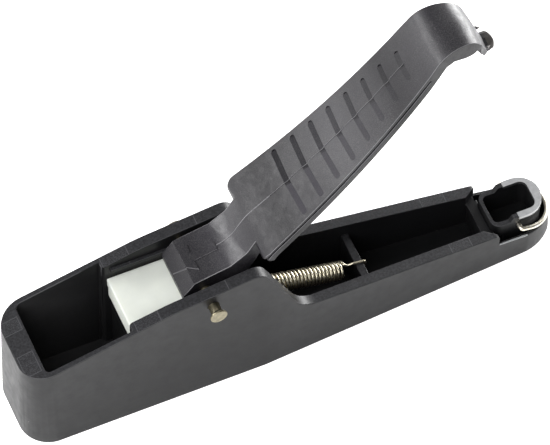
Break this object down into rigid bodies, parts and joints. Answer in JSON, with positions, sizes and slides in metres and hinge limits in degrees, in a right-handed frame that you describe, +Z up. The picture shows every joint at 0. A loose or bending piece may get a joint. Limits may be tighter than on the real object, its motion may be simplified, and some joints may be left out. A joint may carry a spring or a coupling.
{
  "type": "wire stripper",
  "caption": "Press-handle wire tool: open-topped tapered body, sprung handle that drives a sliding block into a work bay, nose socket with wire bail latch.",
  "frame": {"origin": "on the flat base, directly under the handle's pivot axis", "axes": "+X along the tool towards the low nose, +Y across it along the pivot axis, +Z up from the base"},
  "size_m": [0.1753, 0.035, 0.1243],
  "materials": {
    "housing_plastic": "satin moulded",
    "handle_plastic": "fine moulded grain",
    "white_nylon": "smooth",
    "pin_steel": "nickel plated",
    "spring_steel": "bright drawn wire",
    "plate_steel": "pressed sheet",
    "bail_wire": "nickel plated wire"
  },
  "bodies": {
    "body": {"housing": "housing_plastic", "nose_socket": "housing_plastic", "striker_plate": "plate_steel", "pivot_pin": "pin_steel", "pivot_retainer": "pin_steel"},
    "handle": {"lever": "handle_plastic", "drive_pin": "pin_steel", "spring_bar": "pin_steel"},
    "pusher": {"pusher_block": "white_nylon"},
    "spring": {"return_spring": "spring_steel"},
    "bail": {"latch_bail": "bail_wire"}
  },
  "joints": [
    {"name": "handle_hinge", "type": "hinge", "parent": "body", "child": "handle", "pos_m": [0, 0, 0.0434], "axis": [0, 1, 0], "range_deg": [0, 47.5], "stiffness_Nm_per_rad": 0.15, "springref_deg": -40.11},
    {"name": "pusher_slide", "type": "slide", "parent": "body", "child": "pusher", "axis": [-1, 0, 0], "range_m": [0, 0.00777]},
    {"name": "spring_stretch", "type": "slide", "parent": "body", "child": "spring", "axis": [-0.9909, 0, 0.1343], "range_m": [0, 0.01468], "deforming": ["return_spring"]},
    {"name": "bail_hinge", "type": "hinge", "parent": "body", "child": "bail", "pos_m": [0.1031, 0, 0.0128], "axis": [0, -1, 0], "range_deg": [0, 64.5]}
  ],
  "couplings": [
    {"joint": "pusher_slide", "follows": "handle_hinge", "m_per_rad": 0.009249},
    {"joint": "spring_stretch", "follows": "handle_hinge", "m_per_rad": 0.01759}
  ]
}
